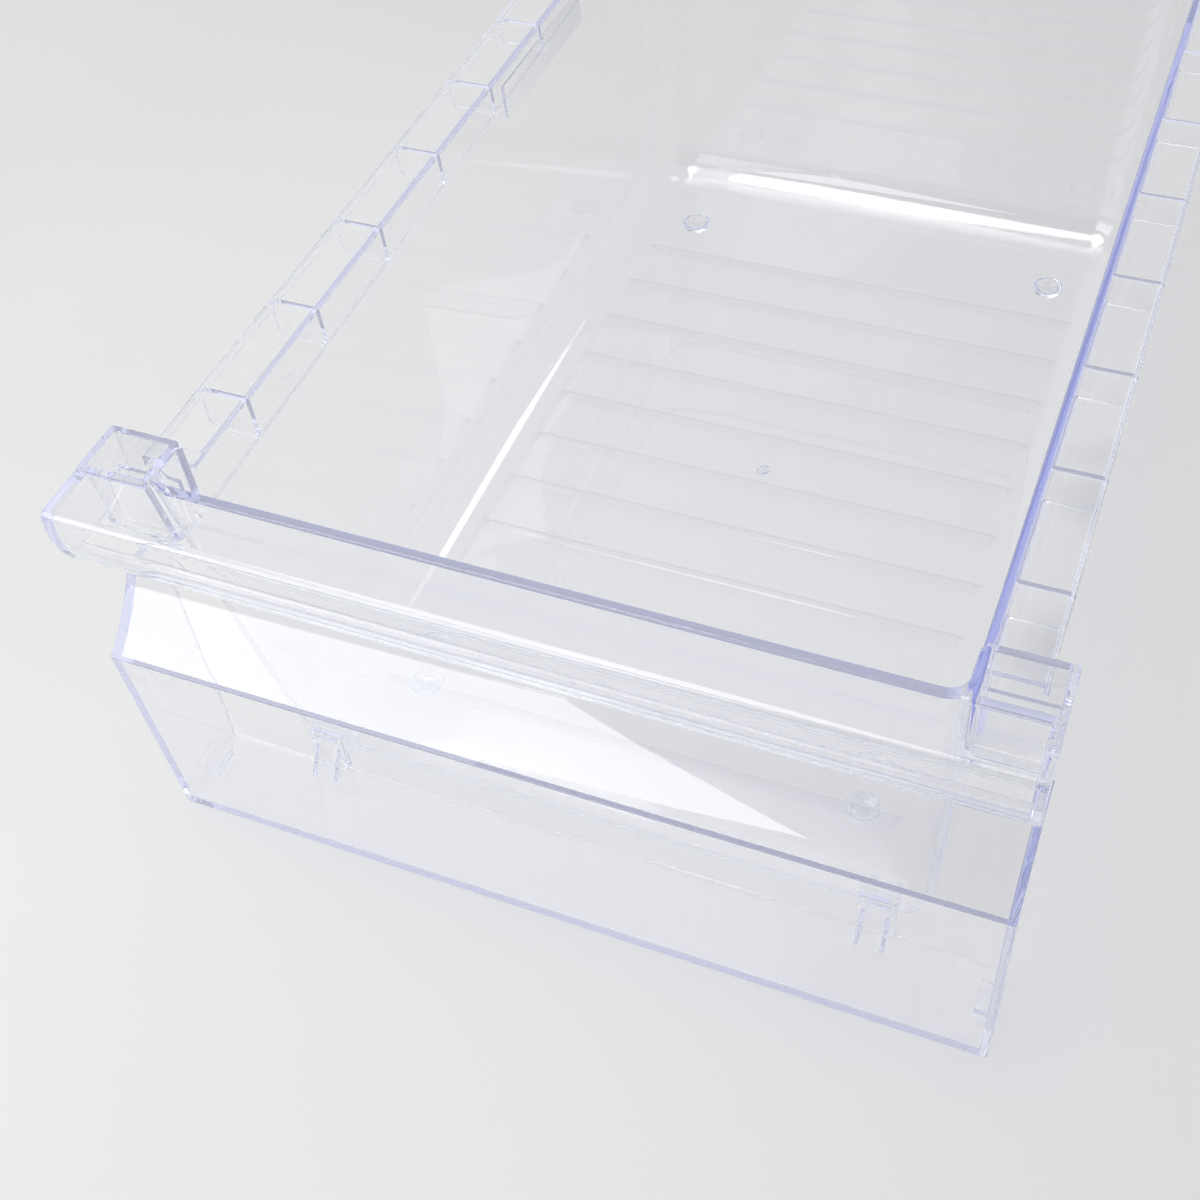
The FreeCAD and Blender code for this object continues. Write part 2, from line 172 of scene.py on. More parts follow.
# How far the slope's inner face lies behind its outer one, in sheet thicknesses
SLOPE_TOP_BACK = (0.85, -0.53)
CREASE_BACK = (1.0, -0.57)
HOOK_X = 107.5
HOOK_WIDTH = 14.0
HOOK_HEIGHT = 22.0
HOOK_THICKNESS = 2.2
HOOK_GAP = 0.3
HOOK_SINK = 0.5
RIDGE_HALF = 5.0
RIDGE_HEIGHTS = (17.5, 20.5)
RIDGE_REACH = 1.4
RIDGE_POINT_Z = 19.6
GUSSET_HEIGHT = 15.0
GUSSET_REACH = 8.0
GUSSET_EDGE = 0.25
GUSSET_STARTS = (-5.4, 3.8)
GUSSET_WIDTH = 1.6
STOP_ENDS = (14.0, 25.0)
STOP_HEIGHTS = (1.5, 8.0)
STOP_WIDTH = 5.0

# Feet
FOOT_X = 90.0
FOOT_YS = (83.0, 398.0)
FOOT_RADIUS = 7.0
FOOT_ROUND = 4.5
FOOT_RISE = 3.4
FOOT_SINK = 0.8

# Small marks of the moulding
BEAD_RADIUS = 0.9
BEAD_SINK = 0.3
BEAD_REAR_Y = 424.0
PAD_ENDS = (275.0, 358.0)
PAD_HEIGHTS = (135.5, 150.5)
PAD_RISE = 0.7
GATE_Y = 235.0
GATE_PROFILE = (
    (3.2, -0.8), (3.2, 0.1), (2.9, 0.4), (1.9, 0.4), (1.5, 0.05), (0.6, 0.0), (0.3, 0.5),
)


def side_x(z):
    """The side wall's inner face."""
    return TUB_HALF + (z - RIM_Z) * SIDE_DRAFT


def front_y(z):
    """The front wall's outer face."""
    return FRONT_WALL_Y + (TOP_Z - z) * FRONT_LEAN


def rear_y(z):
    """The rear wall's inner face."""
    return REAR_WALL_Y - WALL + (z - RIM_Z) * REAR_LEAN


def smooth_step(start, end, value):
    share = min(max((value - start) / (end - start), 0.0), 1.0)
    return share * share * (3 - 2 * share)


def mix(a, b, share):
    return a + (b - a) * share


# Mesh helpers

# Merging distances, in metres
SAME_POINT = 1e-7
SAME_JOINED_POINT = 2e-6
NO_LENGTH = 1e-6

SHARP_TURN = radians(8)
SHORTEST_SIDE_SHARE = 0.45
MITRE_LIMIT = 0.35
TURNED_BACK = 1e-6
CHAMFER_MIDDLE = 0.35


def new_mesh(name, points, faces):
    """An object from drawer millimetres, its faces turned outwards."""
    mesh = bpy.data.meshes.new(name)
    moved = [(x * MM, (y - ORIGIN_Y) * MM, z * MM) for x, y, z in points]
    mesh.from_pydata(moved, [], faces)
    body = bmesh.new()
    body.from_mesh(mesh)
    bmesh.ops.remove_doubles(body, verts=body.verts, dist=SAME_POINT)
    bmesh.ops.dissolve_degenerate(body, dist=SAME_POINT, edges=body.edges)
    bmesh.ops.recalc_face_normals(body, faces=body.faces)
    body.to_mesh(mesh)
    body.free()
    obj = bpy.data.objects.new(name, mesh)
    bpy.context.scene.collection.objects.link(obj)
    return obj


def faces_between(rings, count):
    """The faces that join so many rings, of count points each, one to the next."""
    faces = []
    for low in range(0, (rings - 1) * count, count):
        for index in range(count):
            after = (index + 1) % count
            faces.append((low + index, low + after, low + count + after, low + count + index))
    return faces


def loft(name, rings):
    """A closed skin through rings with equal numbers of points."""
    count = len(rings[0])
    points = [point for ring in rings for point in ring]
    faces = faces_between(len(rings), count)
    faces.append(tuple(range(count)))
    faces.append(tuple(range(len(points) - count, len(points))))
    return new_mesh(name, points, faces)


def arc(start, end, radius, steps):
    """Points of an arc from start towards end, end left out. It bulges to the right of
    the way there, or to the left where the radius is negative."""
    chord = (end[0] - start[0], end[1] - start[1])
    length = hypot(*chord)
    rise = max(radius * radius - length * length / 4, 0.0) ** 0.5
    rise = rise if radius > 0 else -rise
    centre = Vector((
        (start[0] + end[0]) / 2 - chord[1] / length * rise,
        (start[1] + end[1]) / 2 + chord[0] / length * rise,
    ))
    first = Vector(start) - centre
    last = Vector(end) - centre
    turn = last.angle_signed(first)
    return [tuple(centre + Matrix.Rotation(turn * i / steps, 2) @ first) for i in range(steps)]


def rounded(corners, radius, steps=3):
    """A polygon with each corner rounded; a corner's own third value takes precedence."""
    result = []
    for index, corner in enumerate(corners):
        here = Vector(corner[:2])
        before = Vector(corners[index - 1][:2])
        after = Vector(corners[(index + 1) % len(corners)][:2])
        own = corner[2] if len(corner) > 2 else radius
        into = (here - before).normalized()
        out = (after - here).normalized()
        turn = into.angle(out)
        if own <= 0 or turn < SHARP_TURN:
            result.append(tuple(here))
            continue
        shortest = min((here - before).length, (after - here).length)
        reach = min(own * tan(turn / 2), shortest * SHORTEST_SIDE_SHARE)
        start = here - into * reach
        end = here + out * reach
        for step in range(steps + 1):
            share = step / steps
            curve = start.lerp(here, share).lerp(here.lerp(end, share), share)
            result.append(tuple(curve))
    return result


def prism(name, outline, axis, low, high, edge=0.35):
    """An outline extruded along X or Y, its end edges chamfered by edge."""
    def place(point, along):
        u, v = point
        return (along, u, v) if axis == "X" else (u, along, v)

    def shrunk(distance):
        count = len(outline)
        area = sum(
            outline[i - 1][0] * outline[i][1] - outline[i][0] * outline[i - 1][1]
            for i in range(count)
        )
        turn = 1 if area > 0 else -1
        result = []
        for i in range(count):
            here = Vector(outline[i])
            into = (here - Vector(outline[i - 1])).normalized()
            out = (Vector(outline[(i + 1) % count]) - here).normalized()
            inward = Vector((-(into.y + out.y), into.x + out.x)) * turn
            if inward.length < TURNED_BACK:
                result.append(tuple(here))
                continue
            inward.normalize()
            spread = max(inward.dot(Vector((-into.y, into.x)) * turn), MITRE_LIMIT)
            result.append(tuple(here + inward * distance / spread))
        return result

    middle = edge * CHAMFER_MIDDLE
    rings = [
        [place(point, low) for point in shrunk(edge)],
        [place(point, low + middle) for point in shrunk(middle)],
    ]
    # A long prism has a second ring near each end, which keeps its long faces' shading flat
    flat = (edge, edge * 4) if high - low > edge * 10 else (edge,)
    rings += [[place(point, low + inset) for point in outline] for inset in flat]
    rings += [[place(point, high - inset) for point in outline] for inset in reversed(flat)]
    rings.append([place(point, high - middle) for point in shrunk(middle)])
    rings.append([place(point, high) for point in shrunk(edge)])
    return loft(name, rings)


def union(name, base, others):
    """One skin round overlapping closed pieces."""
    group = bpy.data.collections.new(name + "_pieces")
    for other in others:
        group.objects.link(other)
    modifier = base.modifiers.new("join", "BOOLEAN")
    modifier.operation = "UNION"
    modifier.operand_type = "COLLECTION"
    modifier.solver = "EXACT"
    modifier.collection = group
    graph = bpy.context.evaluated_depsgraph_get()
    mesh = bpy.data.meshes.new_from_object(base.evaluated_get(graph))
    mesh.name = name
    body = bmesh.new()
    body.from_mesh(mesh)
    bmesh.ops.remove_doubles(body, verts=body.verts, dist=SAME_JOINED_POINT)
    bmesh.ops.dissolve_degenerate(body, dist=NO_LENGTH, edges=body.edges)
    bmesh.ops.holes_fill(body, edges=[edge for edge in body.edges if edge.is_boundary], sides=6)
    body.to_mesh(mesh)
    body.free()
    mesh.validate()
    result = bpy.data.objects.new(name, mesh)
    bpy.context.scene.collection.objects.link(result)
    for other in [base] + list(others):
        bpy.data.objects.remove(other)
    bpy.data.collections.remove(group)
    return result


# The tub: rings of points that run round it, one ring for each height

def even(start, end, count):
    return [mix(start, end, i / (count - 1)) for i in range(count)]


def floor_lines_y(front, rear):
    """Grid lines across the floor, close together at each step's drop."""
    lines = {front, rear}
    for index in range(STEP_COUNT):
        drop = FIRST_STEP_Y + STEP_PITCH * index
        lines |= {drop + STEP_DROP_LENGTH * share for share in DROP_LINES}
        lines |= {drop - STEP_PITCH * share for share in RAMP_LINES}
    return sorted(line for line in lines if front <= line <= rear)


def floor_height(x, y):
    """The stepped floor: low wedges that rise to the rear and then drop."""
    along = (y - FIRST_STEP_Y) / STEP_PITCH + 1
    if along <= 0 or along > STEP_COUNT + 0.2:
        return FLOOR_Z
    index = min(int(along), STEP_COUNT - 1)
    before_drop = (FIRST_STEP_Y + STEP_PITCH * index) - y
    nearest = before_drop
    if index > 0 and STEP_PITCH - before_drop < STEP_DROP_LENGTH:
        nearest = before_drop - STEP_PITCH
    rise = 1 - min(max(nearest / STEP_PITCH, 0.0), 1.0)
    drop = 1 - smooth_step(-STEP_DROP_LENGTH * 0.5, STEP_DROP_LENGTH * 0.5, -nearest)
    fade = min((HALF_FLOOR - abs(x)) / STEP_END_FADE, 1.0)
    return FLOOR_Z + STEP_RISE * rise * drop * max(fade, 0.0)


def painted_step_shade(y):
    """How much painted shade greys the plastic near a step's crest: 1 on the crest, 0 far off. The
    grey stands in for the faint shadow lines the steps cast on the table below.
    """
    along = (y - FIRST_STEP_Y) / STEP_PITCH
    index = round(along)
    if not 0 <= index < STEP_COUNT:
        return 0.0
    away = (along - index) * STEP_PITCH
    return exp(-((away + CREST_OFFSET) / CREST_WIDTH) ** 2)


HALF_FLOOR = side_x(FLOOR_Z) - REAR_CORNER
FLOOR_FRONT = front_y(FLOOR_Z) + WALL + FRONT_ROUND
FLOOR_REAR = rear_y(FLOOR_Z) - REAR_CORNER
LINES_Y = floor_lines_y(FLOOR_FRONT, FLOOR_REAR)
LINES_X = sorted(
    {-HALF_FLOOR, HALF_FLOOR}
    | {side * (HALF_FLOOR - STEP_END_FADE * share) for side in (-1, 1) for share in (0.5, 1.0)}
    | {HALF_FLOOR * share for share in even(-0.9, 0.9, 13)}
)
CORNER_STEPS = 8
SIDE_SHARES = even(0.0, 1.0, 15)[:-1]


def stations():
    """Where the wall rings have points, in order round the tub from the right side's
    front: each is (part, side, share), as wall_point reads it."""
    result = []
    for side in (1, -1):
        run = [("near", side, share) for share in SIDE_SHARES]
        run += [("side", side, y) for y in LINES_Y]
        arc_angles = even(0, pi / 2, CORNER_STEPS)
        rear = [("rear_corner", side, angle) for angle in arc_angles]
        front = [("front_corner", side, angle) for angle in reversed(arc_angles[1:])]
        if side > 0:
            result += front + run + rear
            result += [("rear", 0, x) for x in reversed(LINES_X)]
        else:
            result += list(reversed(front + run + rear))
            result += [("front", 0, x) for x in LINES_X]
    return result


STATIONS = stations()


def floor_corner(station):
    """The point of the flat floor's edge that a station's rounding runs down to."""
    part, side, value = station
    if part in ("near", "front_corner"):
        return side * HALF_FLOOR, FLOOR_FRONT
    if part == "side":
        return side * HALF_FLOOR, value
    if part == "rear_corner":
        return side * HALF_FLOOR, FLOOR_REAR
    return value, FLOOR_REAR if part == "rear" else FLOOR_FRONT


def floor_round(station):
    """The radius between floor and wall at a station."""
    part, _, value = station
    if part == "front_corner":
        return mix(SIDE_ROUND, FRONT_ROUND, smooth_step(0, pi / 2, value))
    if part == "rear_corner":
        return mix(SIDE_ROUND, REAR_ROUND, smooth_step(0, pi / 2, value))
    return {"near": SIDE_ROUND, "side": SIDE_ROUND, "rear": REAR_ROUND}.get(part, FRONT_ROUND)


def wall_point(station, z, grow):
    """The wall's inner face at a height, or the face that lies grow outside it."""
    part, side, value = station
    half = side_x(z) + grow
    front = front_y(z) + WALL - grow
    rear = rear_y(z) + grow
    front_radius = FRONT_CORNER + grow
    rear_radius = REAR_CORNER + grow
    if part == "near":
        return side * half, mix(front + front_radius, FLOOR_FRONT, value)
    if part == "side":
        return side * half, value
    if part == "front":
        return value, front
    if part == "rear":
        return value, rear
    if part == "front_corner":
        across = half - front_radius * (1 - cos(value))
        return side * across, front + front_radius * (1 - sin(value))
    across = half - rear_radius * (1 - cos(value))
    return side * across, rear - rear_radius * (1 - sin(value))


def wall_top(station):
    """The height of the wall's top edge: high in front, with a step down to the rim."""
    part, _, _ = station
    if part in ("front", "front_corner"):
        return TOP_Z
    if part in ("rear", "rear_corner"):
        return RIM_Z
    _, y = wall_point(station, RIM_Z, WALL / 2)
    return mix(TOP_Z, RIM_Z, smooth_step(STEP_START_Y, STEP_END_Y, y))


def ring_at(height_of, grow):
    ring = []
    for station in STATIONS:
        z = height_of(station)
        x, y = wall_point(station, z, grow)
        ring.append((x, y, z))
    return ring


def rounding_ring(angle, floor, grow):
    """A ring of the rounding between the floor, at angle 0, and the wall, at pi / 2."""
    ring = []
    for station in STATIONS:
        radius = floor_round(station) + grow
        foot = floor_corner(station)
        wall = wall_point(station, floor + radius, grow)
        x = mix(foot[0], wall[0], sin(angle))
        y = mix(foot[1], wall[1], sin(angle))
        ring.append((x, y, floor + radius * (1 - cos(angle))))
    return ring


def tub_skin():
    """The tub as one closed skin: floor grid, inner wall, rim, outer wall, underside."""
    angles = even(0, pi / 2, 9)
    levels = even(0, 1, 7)[1:-1]
    rings = [rounding_ring(angle, FLOOR_Z, 0) for angle in angles]

    def between(share, floor, grow):
        def height(station):
            start = floor + floor_round(station) + grow
            return mix(start, wall_top(station) - EDGE_ROUND, share)
        return height

    rings += [ring_at(between(share, FLOOR_Z, 0), 0) for share in levels]
    for angle in even(0, pi / 2, 4):
        lift = EDGE_ROUND * (1 - sin(angle))
        grow = EDGE_ROUND * (1 - cos(angle))
        rings.append(ring_at(lambda station: wall_top(station) - lift, grow))
    for angle in even(pi / 2, 0, 4):
        lift = EDGE_ROUND * (1 - sin(angle))
        grow = WALL - EDGE_ROUND * (1 - cos(angle))
        rings.append(ring_at(lambda station: wall_top(station) - lift, grow))
    rings += [ring_at(between(share, UNDERSIDE_Z, WALL), WALL) for share in reversed(levels)]
    rings += [rounding_ring(angle, UNDERSIDE_Z, WALL) for angle in reversed(angles)]

    count = len(STATIONS)
    points = [point for ring in rings for point in ring]
    faces = faces_between(len(rings), count)
    faces.append(tuple(range(len(points) - count, len(points))))
    start = len(points)
    for y in LINES_Y:
        points += [(x, y, floor_height(x, y)) for x in LINES_X]
    across = len(LINES_X)
    for row in range(len(LINES_Y) - 1):
        for column in range(across - 1):
            corner = start + row * across + column
            faces.append((corner, corner + 1, corner + across + 1, corner + across))
    tub = new_mesh("tub", points, faces)
    # Painted shade: each floor point near a step's crest gets how much grey to mix into the
    # plastic's colour
    painted_shades = tub.data.attributes.new("painted_step_shade", "FLOAT", "POINT")
    for vertex, shade in zip(tub.data.vertices, painted_shades.data):
        x, y, z = vertex.co / MM
        if abs(x) < HALF_FLOOR and abs(z - FLOOR_Z) < STEP_RISE + 0.1:
            shade.value = painted_step_shade(y + ORIGIN_Y)
    return tub


# Flange, ribs, wells and feet

def flange_stations():
    """Stations from the right front, round the rear, to the left front."""
    inner = [("side", 1, y) for y in even(FLANGE_FRONT_Y, FLANGE_SIDE_END_Y, 30)]
    inner += [("rear_corner", 1, angle) for angle in even(0, pi / 2, 10)]
    inner += [("rear", 0, x) for x in even(FLANGE_REAR_HALF, -FLANGE_REAR_HALF, 9)]
    inner += [("rear_corner", -1, angle) for angle in even(pi / 2, 0, 10)]
    inner += [("side", -1, y) for y in even(FLANGE_SIDE_END_Y, FLANGE_FRONT_Y, 30)]
    return inner


def flange_outer(station):
    part, side, value = station
    if part == "side":
        return side * FLANGE_HALF, value
    if part == "rear":
        return value, OVERALL_DEPTH
    across = FLANGE_HALF - FLANGE_CORNER * (1 - cos(value))
    return side * across, OVERALL_DEPTH - FLANGE_CORNER * (1 - sin(value))


def flange():
    top = RIM_Z - FLANGE_SINK
    under = top - FLANGE_THICKNESS
    foot = RIM_Z - LIP_DROP
    rings = []
    for station in flange_stations():
        start = Vector(wall_point(station, RIM_Z, WALL / 2))
        end = Vector(flange_outer(station))
        out = (end - start).normalized()
        reach = (end - start).length
        section = rounded([
            (0, top, 0),
            (reach, top, LIP_TOP_ROUND),
            (reach, foot, LIP_FOOT_ROUND),
            (reach - LIP_THICKNESS, foot, LIP_FOOT_ROUND),
            (reach - LIP_THICKNESS, under, LIP_INNER_ROUND),
            (0, under, 0),
        ], 0)
        rings.append([(*(start + out * d), z) for d, z in section])
    return loft("flange", rings)


def rib_foot(y):
    return RIM_Z - FLANGE_THICKNESS - RIB_DROP + (y - FIRST_RIB_Y) * RIB_RISE


def rib(side, index):
    y = FIRST_RIB_Y + RIB_PITCH * index
    bottom = rib_foot(y)
    inner = side_x(bottom) + WALL / 2
    outer = FLANGE_HALF - LIP_THICKNESS / 2
    outline = [
        (side * inner, RIM_Z - FLANGE_THICKNESS / 2),
        (side * outer, RIM_Z - FLANGE_THICKNESS / 2),
        (side * outer, bottom + RIB_CORNER),
        (side * (outer - RIB_CORNER), bottom),
        (side * inner, bottom),
    ]
    half = RIB_THICKNESS / 2
    return prism("rib", outline, "Y", y - half, y + half)


def wall_bead(side):
    """A thin ridge along the outer wall where the ribs end."""
    rings = []
    for y in even(FLANGE_FRONT_Y + 2, BEAD_REAR_Y, 14):
        z = rib_foot(y)
        x = side_x(z) + WALL - BEAD_RADIUS * BEAD_SINK
        rings.append([
            (side * (x + BEAD_RADIUS * cos(turn)), y, z + BEAD_RADIUS * sin(turn))
            for turn in even(0, 2 * pi, 13)[:-1]
        ])
    return loft("bead", rings)


def wall_pad():
    """A bare raised panel high on the left wall's inner face."""
    low, high = PAD_HEIGHTS
    outline = [
        (-side_x(low) - 1.0, low),
        (PAD_RISE - side_x(low), low + 0.4),
        (PAD_RISE - side_x(high), high - 0.4),
        (-side_x(high) - 1.0, high),
    ]
    return prism("pad", outline, "Y", PAD_ENDS[0], PAD_ENDS[1], 0.5)


def gate_mark():
    """The round scar in the middle of the floor where the plastic was fed in."""
    base = floor_height(0.0, GATE_Y)
    rings = [
        [(radius * cos(turn), GATE_Y + radius * sin(turn), base + rise)
         for turn in even(0, 2 * pi, 33)[:-1]]
        for radius, rise in GATE_PROFILE
    ]
    return loft("gate", rings)


def box_ring(x0, x1, y0, y1, z, radius):
    corners = [(x0, y0), (x1, y0), (x1, y1), (x0, y1)]
    return [(x, y, z) for x, y in rounded(corners, radius, 4)]


def well(side):
    """An open box with a rounded foot beside the tub's top front corner."""
    inner = TUB_HALF + WALL / 2 + WELL_EDGE
    top = TOP_Z - WELL_SINK

    def outside(z, shrink, radius):
        return box_ring(side * inner, side * (HALF_WIDTH - shrink),
                        front_y(z) + WELL_FRONT_GAP + shrink, WELL_BACK_Y - shrink, z, radius)

    def inside(z, shrink, radius):
        start = side_x(top) + WALL + 0.5
        return box_ring(side * start, side * (HALF_WIDTH - WELL_WALL - shrink),
                        front_y(z) + WALL + shrink, WELL_BACK_Y - WELL_WALL - shrink, z, radius)

    rings = []
    for angle in even(0, pi / 2, 5):
        shrink = WELL_FOOT_ROUND * (1 - sin(angle))
        z = WELL_BOTTOM_Z + WELL_FOOT_ROUND * (1 - cos(angle))
        rings.append(outside(z, shrink, WELL_CORNER))
    rings.append(outside(top - WELL_EDGE, 0, WELL_CORNER))
    rings.append(outside(top - 0.1, 0.12, 1.1))
    rings.append(outside(top, WELL_EDGE, 0.9))
    rings.append(inside(top, -WELL_EDGE, 1.0))
    rings.append(inside(top - WELL_EDGE, 0, WELL_INNER_CORNER))
    floor = WELL_BOTTOM_Z + WELL_WALL
    for angle in even(pi / 2, 0, 4):
        shrink = WELL_FLOOR_ROUND * (1 - sin(angle))
        z = floor + WELL_FLOOR_ROUND * (1 - cos(angle))
        rings.append(inside(z, shrink, WELL_INNER_CORNER))
    return loft("well", rings)


def well_plates(side):
    floor = WELL_BOTTOM_Z + WELL_WALL / 2
    start = front_y(floor) + WALL
    spacing = (WELL_BACK_Y - WELL_WALL - start) / 3
    outline = rounded([
        (side * (TUB_HALF + WALL / 2), floor),
        (side * (HALF_WIDTH - WELL_WALL / 2), floor),
        (side * (HALF_WIDTH - WELL_WALL / 2), WELL_PLATE_TOP_Z),
        (side * (TUB_HALF + WALL / 2), WELL_PLATE_TOP_Z),
    ], 0)
    half = WELL_PLATE_THICKNESS / 2
    middles = [start + spacing * (index + 1) for index in range(2)]
    return [prism("plate", outline, "Y", y - half, y + half) for y in middles]


def foot(x, y):
    rings = []
    for angle in even(0, pi / 2, 9):
        radius = FOOT_RADIUS - FOOT_ROUND * (1 - sin(angle))
        z = FOOT_RISE * (1 - cos(angle))
        rings.append([
            (x + radius * cos(turn), y + radius * sin(turn), z)
            for turn in even(0, 2 * pi, 41)[:-1]
        ])
    top = UNDERSIDE_Z + FOOT_SINK
    rings.append([(px, py, top) for px, py, _ in rings[-1]])
    return loft("foot", rings)


# Handle

def handle_sheet():
    """Top plate and curled lip as one bent sheet."""
    nose_low = PLATE_TOP_Z - NOSE_ROUND
    inner_y = NOSE_Y + SHEET
    inner_end = tuple(LIP_END[i] + END_TO_INNER[i] for i in range(2))
    inner_start = tuple(LIP_FOOT[i] + FOOT_TO_INNER[i] for i in range(2))
    outline = [(HANDLE_BACK_Y, PLATE_TOP_Z)]
    outline += arc((NOSE_Y + NOSE_ROUND, PLATE_TOP_Z), (NOSE_Y, nose_low), NOSE_ROUND, 8)
    outline += arc((NOSE_Y, nose_low), LIP_FOOT, LIP_RADIUS, 12)
    outline += arc(LIP_FOOT, LIP_END, CURL_RADIUS, 10)
    outline += arc(LIP_END, inner_end, CURL_TIP_RADIUS, 5)
    outline += arc(inner_end, inner_start, -CURL_INNER_RADIUS, 4)
    turn = NOSE_INNER_ROUND
    outline += arc(inner_start, (inner_y, nose_low - turn), -(LIP_RADIUS - SHEET), 10)
    outline += arc((inner_y, nose_low - turn), (inner_y + turn, nose_low), -turn, 4)
    outline += [(inner_y + turn, PLATE_TOP_Z - PLATE_THICKNESS)]
    outline += [(HANDLE_BACK_Y + 0.5, PLATE_TOP_Z - PLATE_THICKNESS)]
    return prism("handle", outline, "X", -HALF_WIDTH, HALF_WIDTH, 0.5)


def handle_end(side):
    low = LIP_END[1] + 1.0
    outline = rounded([
        (HANDLE_BACK_Y, PLATE_TOP_Z - 1.0),
        (NOSE_Y + 2.2, PLATE_TOP_Z - 1.0),
        (NOSE_Y + 1.2, 155.0),
        (LIP_FOOT[0] + 1.4, LIP_FOOT[1] + 1.0),
        (LIP_END[0], low),
        (front_y(low) + 1.5, low),
    ], 0.6)
    near, far = sorted((side * (HALF_WIDTH - HANDLE_END), side * (HALF_WIDTH - 0.1)))
    return prism("handle_end", outline, "X", near, far)


# Front panel

def panel_sheet():
    top_back = tuple(SLOPE_TOP[i] + PANEL * SLOPE_TOP_BACK[i] for i in range(2))
    crease_back = tuple(CREASE[i] + PANEL * CREASE_BACK[i] for i in range(2))
    inner = PANEL + PANEL_INNER_ROUND
    outline = [(PANEL_DEPTH, 0.0), (PANEL_DEPTH, PANEL)]
    outline += arc((inner, PANEL), (PANEL, inner), PANEL_INNER_ROUND, 4)
    outline += arc(crease_back, top_back, SLOPE_RADIUS + PANEL, 10)
    outline += [top_back]
    outline += arc(SLOPE_TOP, CREASE, -SLOPE_RADIUS, 12)
    # Of three rounded corners with four points each, the middle one's
    outline += rounded([SLOPE_TOP, CREASE, (0.0, 0.0)], CREASE_ROUND, 3)[4:8]
    outline += [(-0.3, 0.9), (0.1, 0.25), (0.8, 0.0)]
    return prism("panel", outline, "X", -HALF_WIDTH, HALF_WIDTH, 0.5)


def panel_end(side):
    inner = [(0.6, 0.6), (PANEL_DEPTH, 0.6), (PANEL_DEPTH, SLOPE_TOP[1] - 0.4)]
    inner += arc((SLOPE_TOP[0] + 0.4, SLOPE_TOP[1] - 0.4), (CREASE[0] + 0.6, CREASE[1] - 0.3),
                 -SLOPE_RADIUS, 10)
    inner += [(CREASE[0] + 0.6, CREASE[1] - 0.3)]
    near, far = sorted((side * (HALF_WIDTH - PANEL), side * (HALF_WIDTH - 0.1)))
    return prism("panel_end", inner, "X", near, far)


def hook(side):
    back = front_y(HOOK_HEIGHT) - HOOK_GAP
    front = back - HOOK_THICKNESS
    outline = rounded([
        (front, PANEL / 2),
        (back, PANEL / 2),
        (back, HOOK_HEIGHT),
        (front, HOOK_HEIGHT),
    ], 0.6)
    middle = side * HOOK_X
    tab = prism("hook", outline, "X", middle - HOOK_WIDTH / 2, middle + HOOK_WIDTH / 2)
    root = front + HOOK_SINK
    gusset = [(root, PANEL / 2), (root, GUSSET_HEIGHT), (front - GUSSET_REACH, PANEL / 2)]
    ridge = [(root, z) for z in RIDGE_HEIGHTS] + [(front - RIDGE_REACH, RIDGE_POINT_Z)]
    pieces = [tab, prism("ridge", ridge, "X", middle - RIDGE_HALF, middle + RIDGE_HALF)]
    for offset in GUSSET_STARTS:
        start = middle + offset
        end = start + GUSSET_WIDTH
        pieces.append(prism("gusset", gusset, "X", start, end, GUSSET_EDGE))
    return pieces


def end_stop(side):
    """A small block low in the panel's corner that steadies the tub's front wall."""
    (front, back), (low, high) = STOP_ENDS, STOP_HEIGHTS
    outline = rounded([(front, low), (back, low), (back, high), (front, high)], 1.0)
    near, far = sorted((side * (HALF_WIDTH - PANEL - STOP_WIDTH), side * (HALF_WIDTH - PANEL / 2)))
    return prism("stop", outline, "X", near, far)


# Shader nodes

def add_node(tree, kind, inputs=None, **settings):
    """A new shader node with its settings and its fixed inputs."""
    node = tree.nodes.new("ShaderNode" + kind)
    for name, value in settings.items():
        setattr(node, name, value)
    for name, value in (inputs or {}).items():
        node.inputs[name].default_value = value
    return node


def maths(tree, operation, first, second):
    """A Math node's result. The second value is a number or another node's output."""
    node = add_node(tree, "Math", operation=operation)
    tree.links.new(first, node.inputs[0])
    if isinstance(second, float):
        node.inputs[1].default_value = second
    else:
        tree.links.new(second, node.inputs[1])
    return node.outputs["Value"]


def mapped(tree, value, start, end, low=0.0, high=1.0, curve="LINEAR"):
    """A value moved from the range start to end into the range low to high."""
    limits = {"From Min": start, "From Max": end, "To Min": low, "To Max": high}
    node = add_node(tree, "MapRange", limits, interpolation_type=curve)
    tree.links.new(value, node.inputs["Value"])
    return node.outputs["Result"]


def noise(tree, place, scale, detail):
    node = add_node(tree, "TexNoise", {"Scale": scale, "Detail": detail})
    tree.links.new(place, node.inputs["Vector"])
    return node.outputs["Fac"]


def ramp(tree, value, *stops):
    """A colour between two stops, each a position and a colour."""
    node = add_node(tree, "ValToRGB")
    for element, (position, colour) in zip(node.color_ramp.elements, stops):
        element.position = position
        element.color = colour
    tree.links.new(value, node.inputs["Fac"])
    return node.outputs["Color"]


def mixed(tree, share, first, second):
    """A colour between first, where share is 0, and second, where it is 1. First is a
    colour or another node's output."""
    node = add_node(tree, "Mix", data_type="RGBA")
    tree.links.new(share, node.inputs["Factor"])
    if isinstance(first, tuple):
        node.inputs["A"].default_value = first
    else:
        tree.links.new(first, node.inputs["A"])
    node.inputs["B"].default_value = second
    return node.outputs["Result"]


def chosen(tree, share, first, second):
    """The shader first where share is 0, and second where it is 1."""
    node = add_node(tree, "MixShader")
    tree.links.new(share, node.inputs["Fac"])
    tree.links.new(first, node.inputs[1])
    tree.links.new(second, node.inputs[2])
    return node.outputs["Shader"]


def any_of(tree, path, *names):
    """1 where a Light Path node gives 1 for any of the names."""
    result = path.outputs[names[0]]
    for name in names[1:]:
        result = maths(tree, "MAXIMUM", result, path.outputs[name])
    return result


